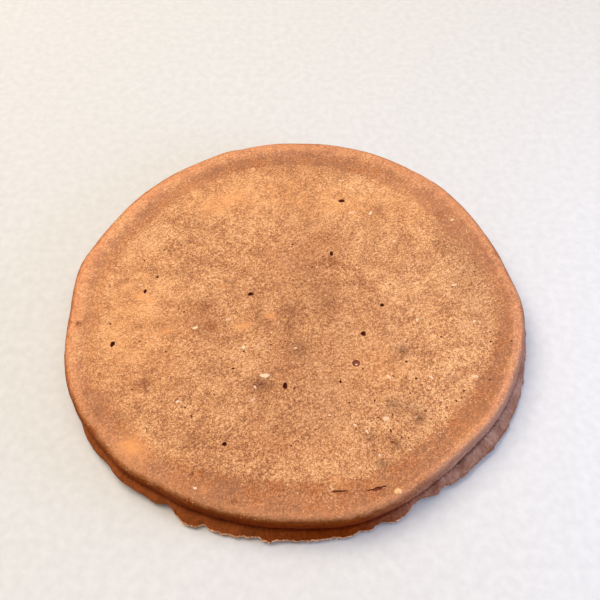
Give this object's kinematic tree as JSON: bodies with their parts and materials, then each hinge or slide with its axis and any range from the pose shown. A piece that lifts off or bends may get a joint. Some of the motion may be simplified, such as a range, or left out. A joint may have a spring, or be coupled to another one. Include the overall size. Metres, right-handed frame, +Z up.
{
  "type": "chocolate pancake",
  "caption": "Round chocolate pancake with a matt browned face, a rounded rim, open bubbles and a thin ragged lip of batter underneath.",
  "frame": {"origin": "centre of the bounding box at the underside, which rests on z = 0", "axes": "+Z up through the pancake's thickness, browned face up; -Y towards the side that the picture shows nearest"},
  "size_m": [0.1314, 0.133, 0.0096],
  "materials": {
    "crust": "matt baked batter, a little greasy on the rounded rim"
  },
  "bodies": {
    "root": {"pancake": "crust"}
  },
  "joints": []
}
